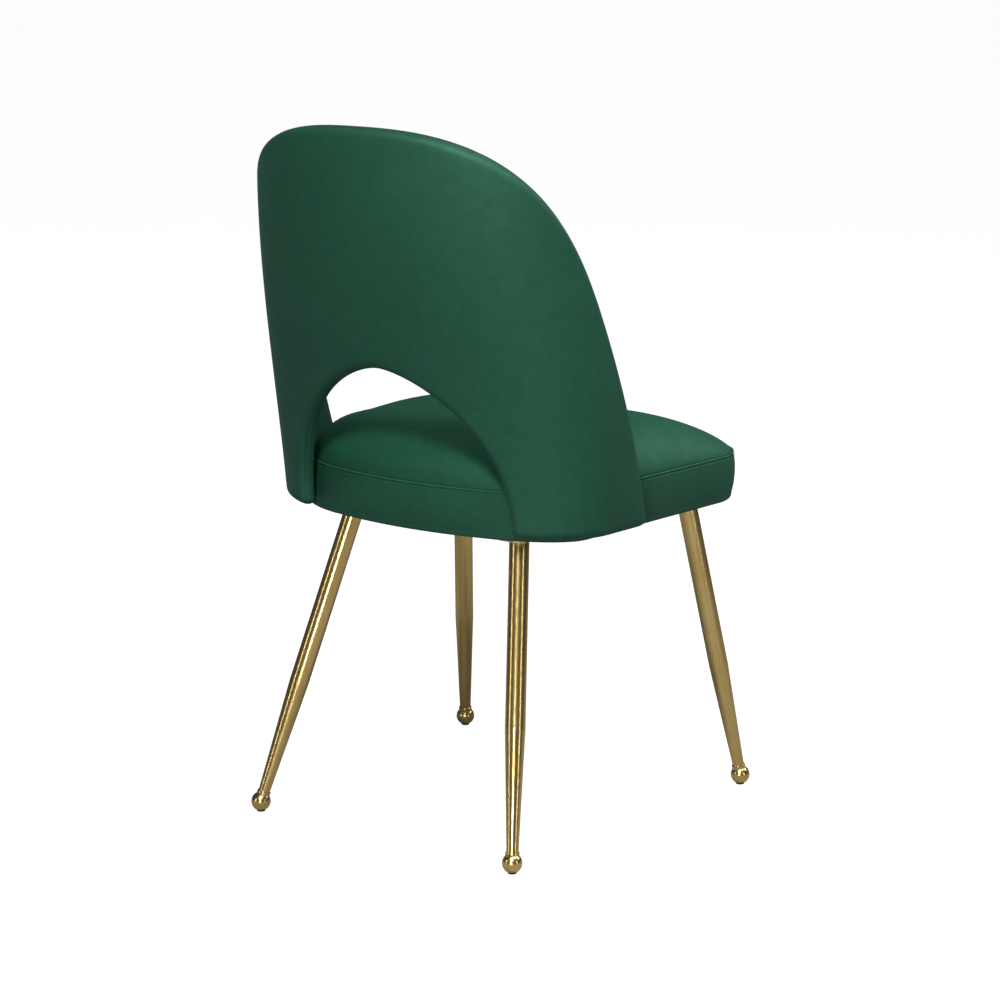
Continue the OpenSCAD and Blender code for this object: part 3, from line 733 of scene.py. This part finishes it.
def seat_stitches(material):
    """The row of stitches round the boxing band, just under the seam."""
    around = 8 * SEAT_RINGS
    path = seat_outline(0, around)
    out = outward_of(path)
    f = STITCH_UNDER / (SEAM_Z - SEAT_LOW)
    stand = STITCH_OUT + band_outward(f, seat_free(path))
    line = np.column_stack([path + stand[:, None] * out, np.full(around, SEAM_Z - STITCH_UNDER)])
    return stitches("seat_seam_stitches", line, np.column_stack([out, np.zeros(around)]), material)


# ---------------------------------------------------------------- cloth

CLOTH_FRAMES = 16


def inflate(piece, held, pressure, cap):
    """Blows a pad up a little with the cloth solver. Held points stay, and no point moves more than cap."""
    count = len(piece.data.vertices)
    rest = np.empty(count * 3, np.float32)
    piece.data.vertices.foreach_get("co", rest)
    rest = rest.reshape(-1, 3)
    group = piece.vertex_groups.new(name="held")
    group.add([int(k) for k in np.flatnonzero(held > 0.5)], 1.0, "REPLACE")
    cloth = piece.modifiers.new("cloth", "CLOTH")
    cloth.settings.quality = 5
    cloth.settings.mass = 0.3
    cloth.settings.tension_stiffness = 12
    cloth.settings.compression_stiffness = 12
    cloth.settings.shear_stiffness = 6
    cloth.settings.bending_stiffness = 4.0
    cloth.settings.use_pressure = True
    cloth.settings.uniform_pressure_force = pressure
    cloth.settings.vertex_group_mass = "held"
    cloth.settings.effector_weights.gravity = 0
    cloth.point_cache.frame_start = 1
    cloth.point_cache.frame_end = CLOTH_FRAMES
    scene = bpy.context.scene
    for f in range(1, CLOTH_FRAMES + 1):
        scene.frame_set(f)
    depsgraph = bpy.context.evaluated_depsgraph_get()
    moved = np.empty(count * 3, np.float32)
    piece.evaluated_get(depsgraph).data.vertices.foreach_get("co", moved)
    piece.modifiers.remove(cloth)
    scene.frame_set(1)
    shift = moved.reshape(-1, 3) - rest
    length = np.linalg.norm(shift, axis=1)
    shift *= (np.minimum(length, cap) / np.maximum(length, 1e-9))[:, None]
    piece.data.vertices.foreach_set("co", (rest + shift).ravel())
    piece.data.update()
    piece.vertex_groups.clear()


def subdivide(piece):
    """Smooths a piece by one level of subdivision."""
    modifier = piece.modifiers.new("subdivide", "SUBSURF")
    modifier.levels = 1
    modifier.render_levels = 1


# ---------------------------------------------------------------- materials


class Graph:
    """A material's nodes, made in a line or two each."""

    def __init__(self, name):
        self.material = bpy.data.materials.new(name)
        self.material.use_nodes = True
        self.tree = self.material.node_tree
        self.shader = self.tree.nodes["Principled BSDF"]
        self.coordinates = self.tree.nodes.new("ShaderNodeTexCoord").outputs["Object"]

    def node(self, kind, inputs, **settings):
        node = self.tree.nodes.new(kind)
        for key, value in settings.items():
            setattr(node, key, value)
        for key, value in inputs.items():
            if isinstance(value, bpy.types.NodeSocket):
                self.tree.links.new(value, node.inputs[key])
            else:
                node.inputs[key].default_value = value
        return node

    def noise(self, scale, detail=2.0, roughness=0.5, stretch=None, distortion=0.0):
        vector = self.coordinates
        if stretch:
            vector = self.node("ShaderNodeMapping", {"Vector": vector, "Scale": stretch}).outputs[0]
        inputs = {"Vector": vector, "Scale": scale, "Detail": detail, "Roughness": roughness}
        inputs["Distortion"] = distortion
        return self.node("ShaderNodeTexNoise", inputs).outputs["Fac"]

    def remap(self, value, low, high, to_low=0.0, to_high=1.0):
        inputs = {"Value": value, "From Min": low, "From Max": high, "To Min": to_low, "To Max": to_high}
        return self.node("ShaderNodeMapRange", inputs, clamp=True).outputs[0]

    def math(self, operation, a, b):
        return self.node("ShaderNodeMath", {0: a, 1: b}, operation=operation).outputs[0]

    def mix(self, factor, a, b, blend="MIX"):
        node = self.tree.nodes.new("ShaderNodeMix")
        node.data_type = "RGBA"
        node.blend_type = blend
        for key, value in ((0, factor), (6, a), (7, b)):
            if isinstance(value, bpy.types.NodeSocket):
                self.tree.links.new(value, node.inputs[key])
            else:
                node.inputs[key].default_value = value
        return node.outputs[2]

    def attribute(self, name):
        return self.node("ShaderNodeAttribute", {}, attribute_name=name).outputs["Fac"]

    def bump(self, height, strength, distance, normal=None):
        inputs = {"Height": height, "Strength": strength, "Distance": distance}
        if normal:
            inputs["Normal"] = normal
        return self.node("ShaderNodeBump", inputs).outputs[0]

    def feed(self, **sockets):
        for key, value in sockets.items():
            socket = self.shader.inputs[key.replace("_", " ")]
            if isinstance(value, bpy.types.NodeSocket):
                self.tree.links.new(value, socket)
            else:
                socket.default_value = value
        return self.material


def shade_of(colour, by):
    """A colour made darker or lighter by a factor."""
    return tuple(c * by for c in colour[:3]) + (1,)


def velvet(name, dark, light):
    """Short-pile velvet: mottled pile, faint brushing marks, fibres, sheen, and painted shade that darkens
    the cloth in the seams.
    """
    g = Graph(name)
    mottle = g.remap(g.noise(70, 5, 0.62), 0.32, 0.68)
    lay = g.remap(g.noise(9, 3, 0.55, distortion=0.6), 0.35, 0.65)
    brushed = g.remap(g.noise(1, 4, 0.6, stretch=(120, 120, 26)), 0.3, 0.7)
    shade = g.math("ADD", g.math("MULTIPLY", mottle, 0.42), g.math("MULTIPLY", lay, 0.34))
    shade = g.math("ADD", shade, g.math("MULTIPLY", brushed, 0.24))
    colour = g.mix(shade, dark, light)
    fibre = g.noise(1500, 3, 0.7)
    colour = g.mix(g.remap(fibre, 0.3, 0.7, 0.0, 0.30), colour, shade_of(dark, 0.62))
    # painted shade: the seam value darkens the cloth, standing in for the shade that falls in the seams'
    # creases
    seam = g.attribute("seam")
    colour = g.mix(g.math("MULTIPLY", seam, 0.40), colour, shade_of(dark, 0.35))
    normal = g.bump(fibre, 0.35, 0.0004)
    normal = g.bump(mottle, 0.12, 0.0008, normal)
    roughness = g.remap(mottle, 0, 1, 0.70, 0.60)
    return g.feed(
        Base_Color=colour, Roughness=roughness, Normal=normal,
        Sheen_Weight=0.06, Sheen_Roughness=0.40, Sheen_Tint=(0.30, 0.75, 0.55, 1),
        Specular_IOR_Level=0.68, Specular_Tint=(0.40, 1.0, 0.74, 1),
    )


def brass(name):
    """Satin brass plating, finely brushed along the tube, with faint cloudy toning."""
    g = Graph(name)
    streaks = g.noise(1, 4, 0.6, stretch=(420, 420, 5))
    hairs = g.noise(1, 2, 0.5, stretch=(1500, 1500, 14))
    cloud = g.remap(g.noise(14, 3, 0.55), 0.35, 0.65)
    colour = g.mix(cloud, (0.80, 0.57, 0.215, 1), (0.88, 0.65, 0.27, 1))
    colour = g.mix(g.remap(streaks, 0.35, 0.65, 0.0, 0.35), colour, (0.66, 0.45, 0.15, 1))
    roughness = g.math("ADD", g.remap(streaks, 0.3, 0.7, 0.19, 0.26), g.remap(hairs, 0.3, 0.7, 0.0, 0.02))
    normal = g.bump(streaks, 0.05, 0.0002)
    return g.feed(Base_Color=colour, Metallic=1.0, Roughness=roughness, Normal=normal)


def zinc(name):
    """Zinc-plated steel with a faint spangle."""
    g = Graph(name)
    spangle = g.node("ShaderNodeTexVoronoi", {"Vector": g.coordinates, "Scale": 260}).outputs["Color"]
    fine = g.noise(900, 3)
    colour = g.mix(g.remap(spangle, 0, 1, 0.2, 0.8), (0.42, 0.44, 0.46, 1), (0.62, 0.63, 0.64, 1))
    roughness = g.remap(fine, 0.3, 0.7, 0.28, 0.46)
    normal = g.bump(fine, 0.1, 0.0002)
    return g.feed(Base_Color=colour, Metallic=1.0, Roughness=roughness, Normal=normal)


def plywood(name):
    """Birch ply: long grain with plies showing on the edges."""
    g = Graph(name)
    grain = g.noise(1, 6, 0.65, stretch=(26, 220, 26), distortion=0.8)
    layers = {"Vector": g.coordinates, "Scale": 110, "Distortion": 0.6, "Detail": 2}
    plies = g.node("ShaderNodeTexWave", layers, bands_direction="Z").outputs["Fac"]
    colour = g.mix(g.remap(grain, 0.35, 0.65), (0.52, 0.34, 0.17, 1), (0.72, 0.53, 0.32, 1))
    colour = g.mix(g.math("MULTIPLY", plies, 0.35), colour, (0.38, 0.23, 0.11, 1))
    roughness = g.remap(grain, 0.3, 0.7, 0.5, 0.7)
    normal = g.bump(grain, 0.25, 0.0006)
    return g.feed(Base_Color=colour, Roughness=roughness, Normal=normal)


def non_woven(name):
    """Black spun-bonded cloth with a fine embossed dot pattern."""
    g = Graph(name)
    pattern = {"Vector": g.coordinates, "Scale": 420, "Randomness": 0.15}
    dots = g.node("ShaderNodeTexVoronoi", pattern).outputs["Distance"]
    fuzz = g.noise(600, 4, 0.7)
    colour = g.mix(g.remap(fuzz, 0.3, 0.7), (0.010, 0.010, 0.011, 1), (0.035, 0.035, 0.038, 1))
    roughness = g.remap(fuzz, 0.3, 0.7, 0.7, 0.9)
    normal = g.bump(g.remap(dots, 0.1, 0.5), 0.5, 0.0004, g.bump(fuzz, 0.3, 0.0004))
    return g.feed(Base_Color=colour, Roughness=roughness, Normal=normal)


def nylon(name):
    """Black nylon with a fine moulded grain."""
    g = Graph(name)
    fine = g.noise(700, 4, 0.6)
    colour = g.mix(g.remap(fine, 0.3, 0.7), (0.018, 0.018, 0.019, 1), (0.032, 0.032, 0.034, 1))
    roughness = g.remap(fine, 0.3, 0.7, 0.42, 0.6)
    normal = g.bump(fine, 0.25, 0.0002)
    return g.feed(Base_Color=colour, Roughness=roughness, Normal=normal)


def thread(name):
    """Green sewing thread."""
    g = Graph(name)
    twist = g.noise(1, 2, 0.5, stretch=(2200, 2200, 2200))
    colour = g.mix(g.remap(twist, 0.3, 0.7), (0.020, 0.085, 0.052, 1), (0.055, 0.170, 0.115, 1))
    roughness = g.remap(twist, 0.3, 0.7, 0.45, 0.65)
    normal = g.bump(twist, 0.4, 0.0003)
    return g.feed(Base_Color=colour, Roughness=roughness, Normal=normal)


FLOOR_GLOW = 0.96


def floor_paint(name):
    """Pale studio floor, with a glow that only the camera sees and that leaves the chair's light alone."""
    g = Graph(name)
    cloud = g.noise(3, 3)
    colour = g.mix(g.remap(cloud, 0.3, 0.7), (0.23, 0.23, 0.23, 1), (0.26, 0.26, 0.26, 1))
    seen = g.node("ShaderNodeLightPath", {}).outputs["Is Camera Ray"]
    glow = g.math("MULTIPLY", seen, FLOOR_GLOW)
    return g.feed(
        Base_Color=colour, Roughness=0.9, Specular_IOR_Level=0.1,
        Emission_Color=(1, 1, 1, 1), Emission_Strength=glow,
    )


# ---------------------------------------------------------------- floor and light

FLOOR_R = 40.0
FLOOR_SIDES = 96


def make_floor():
    """One large round of floor at the height of the glides."""
    angle = np.linspace(0, 2 * math.pi, FLOOR_SIDES, endpoint=False)
    points = np.column_stack([FLOOR_R * np.cos(angle), FLOOR_R * np.sin(angle), np.zeros(FLOOR_SIDES)])
    mesh = bpy.data.meshes.new("floor")
    mesh.from_pydata([tuple(p) for p in points], [], [tuple(range(FLOOR_SIDES))])
    floor = bpy.data.objects.new("floor", mesh)
    bpy.context.scene.collection.objects.link(floor)
    mesh.materials.append(floor_paint("floor_paint"))


LIGHT_AIM = Vector((0, 0, 0.45))
AMBIENT = 0.06


def area_light(name, azimuth, elevation, distance, size, power):
    """A soft box that faces the chair. Azimuth 0 stands in front of the chair and 180 behind it."""
    a, e = math.radians(azimuth), math.radians(elevation)
    towards = Vector((math.sin(a) * math.cos(e), -math.cos(a) * math.cos(e), math.sin(e)))
    data = bpy.data.lights.new(name, "AREA")
    data.shape = "RECTANGLE"
    data.size, data.size_y = size
    data.energy = power
    light = bpy.data.objects.new(name, data)
    bpy.context.scene.collection.objects.link(light)
    light.location = LIGHT_AIM + towards * distance
    light.rotation_mode = "QUATERNION"
    light.rotation_quaternion = towards.to_track_quat("Z", "Y")


def make_world():
    """White all round to the camera, and a faint even light on everything else."""
    world = bpy.data.worlds.new("studio")
    world.use_nodes = True
    tree = world.node_tree
    background = tree.nodes["Background"]
    seen = tree.nodes.new("ShaderNodeLightPath").outputs["Is Camera Ray"]
    choose = tree.nodes.new("ShaderNodeMapRange")
    choose.inputs["To Min"].default_value = AMBIENT
    choose.inputs["To Max"].default_value = 1.0
    tree.links.new(seen, choose.inputs["Value"])
    tree.links.new(choose.outputs[0], background.inputs["Strength"])
    background.inputs["Color"].default_value = (1, 1, 1, 1)
    bpy.context.scene.world = world


def make_light():
    """The world and seven soft boxes: azimuth, elevation, distance, size and power."""
    make_world()
    area_light("key", 208, 40, 3.4, (0.55, 0.55), 84)
    area_light("fill", 207, 4, 3.6, (0.5, 1.0), 30)
    area_light("over", 216, 61, 3.2, (0.4, 0.4), 60)
    area_light("top", 285, 60, 2.8, (1.0, 1.0), 28)
    area_light("front", 325, 34, 3.6, (1.6, 1.6), 30)
    area_light("strip_left", 150, 4, 2.6, (0.14, 1.5), 4)
    area_light("strip_right", 268, 4, 2.6, (0.14, 1.5), 4)
    bpy.context.scene.view_settings.view_transform = "Standard"


# ---------------------------------------------------------------- the chair

GREEN_DARK = (0.0024, 0.0275, 0.0138, 1)
GREEN_LIGHT = (0.0052, 0.0475, 0.0245, 1)
PAD_PUFF = 0.004
HELD_BELOW = 0.02


def rises_over_seat(spots):
    """0 beside the seat, 1 well above it, so that the pad stays clear of the cushion."""
    return smooth((spots[..., 1] - (SEAM_Z + CROWN_H) + 0.02) / 0.06)


def inner_puff(spots):
    """How much fuller the sitter's pad is over the seat, fading to nothing at the wings' edges."""
    across = np.abs(spots[..., 0]) / WING_GIRTH
    return PAD_PUFF * rises_over_seat(spots) * np.clip(1 - across ** 4, 0, 1)


def make_back(cloth, shaded_strip_cloth):
    """The two pads of the back and the two strips between them."""
    outer, held = padded_panel("back_outer_panel", 0.0, CORE_OUTER, OUTER_SEAM, 0.0, cloth)
    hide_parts("back_outer_cover", "back_wadding")
    inflate(outer, held, 0.5, 0.0012)
    spots = grid_spots()
    puff = inner_puff(spots)
    inner, held = padded_panel("back_inner_pad", BACK_T, CORE_INNER, INNER_SEAM, puff, cloth)
    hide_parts("back_inner_cover", "back_foam")
    free = rises_over_seat(spots).ravel()
    held[:len(free)] = np.maximum(held[:len(free)], free < HELD_BELOW)
    inflate(inner, held, 1.5, 0.006)
    foot, other = foot_path(1), foot_path(-1)
    other = tuple(part[::-1] for part in other)
    # the edge band is cut from the darker copy of the velvet: painted shade
    edge = band_piece("back_edge_band", [
        tuple(part[:-1] for part in foot), (EDGE, EDGE_IN, EDGE_TRIM), tuple(part[1:] for part in other),
    ], shaded_strip_cloth)
    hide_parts("back_edge_strip", "back_edge_foam")
    arch = band_piece("back_arch_band", [(ARCH[::-1], ARCH_IN[::-1], ARCH_TRIM[::-1])], cloth)
    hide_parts("back_arch_strip")
    for piece in (outer, inner, edge, arch):
        subdivide(piece)


def make_seat(lit_top_cloth, cloth, highlit_fold_cloth, thread_material):
    """The cushion, the boxing band, the fold and the stitches in its seam, and the cloth underneath."""
    # the cushion's top is the lighter copy of the velvet: painted light
    cushion, held = seat_cushion(lit_top_cloth)
    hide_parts("seat_top_cover", "seat_wadding", "seat_foam")
    inflate(cushion, held, 1.5, 0.004)
    band = seat_band(cloth)
    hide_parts("seat_boxing")
    # the welt is the much lighter copy of the velvet: a painted highlight along the fold
    welt = seat_welt(highlit_fold_cloth)
    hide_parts("seat_welt")
    rows = seat_stitches(thread_material)
    cover = dust_cover(non_woven("dust_cloth"))
    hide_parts("seat_dust_cover")
    subdivide(cover)
    for piece in (cushion, band, welt):
        subdivide(piece)


def finish_frame():
    """Gives the CAD pieces that still show their own materials."""
    slots = {
        "brass_finish": brass("brass"),
        "zinc_steel": zinc("zinc"),
        "plywood": plywood("plywood"),
        "nylon": nylon("nylon"),
    }
    for subpart in frame["record"]["subparts"]:
        node = frame["nodes"][subpart["node"]]
        if subpart["material_slot"] in slots:
            node.data.materials.clear()
            node.data.materials.append(slots[subpart["material_slot"]])


def green_velvet(name, by=1.0):
    """The chair's velvet, made darker or lighter by a factor: painted light and shade, lighter where a part
    catches more light and darker where it lies in shade.
    """
    return velvet(name, shade_of(GREEN_DARK, by), shade_of(GREEN_LIGHT, by))


def main():
    make_camera()
    make_light()
    make_floor()
    cloth = green_velvet("velvet")
    # painted light: a lighter copy of the velvet for the seat's top, for the light that falls on it
    lit_seat_cloth = green_velvet("velvet_seat_lit", 1.5)
    # painted shade: a darker copy of the velvet for the edge band
    shaded_strip_cloth = green_velvet("velvet_strip_shaded", 0.75)
    # painted highlight: a much lighter copy of the velvet for the welt's fold
    highlit_fold_cloth = green_velvet("velvet_fold_highlit", 2.2)
    thread_material = thread("thread")
    make_back(cloth, shaded_strip_cloth)
    make_seat(lit_seat_cloth, cloth, highlit_fold_cloth, thread_material)
    finish_frame()


main()
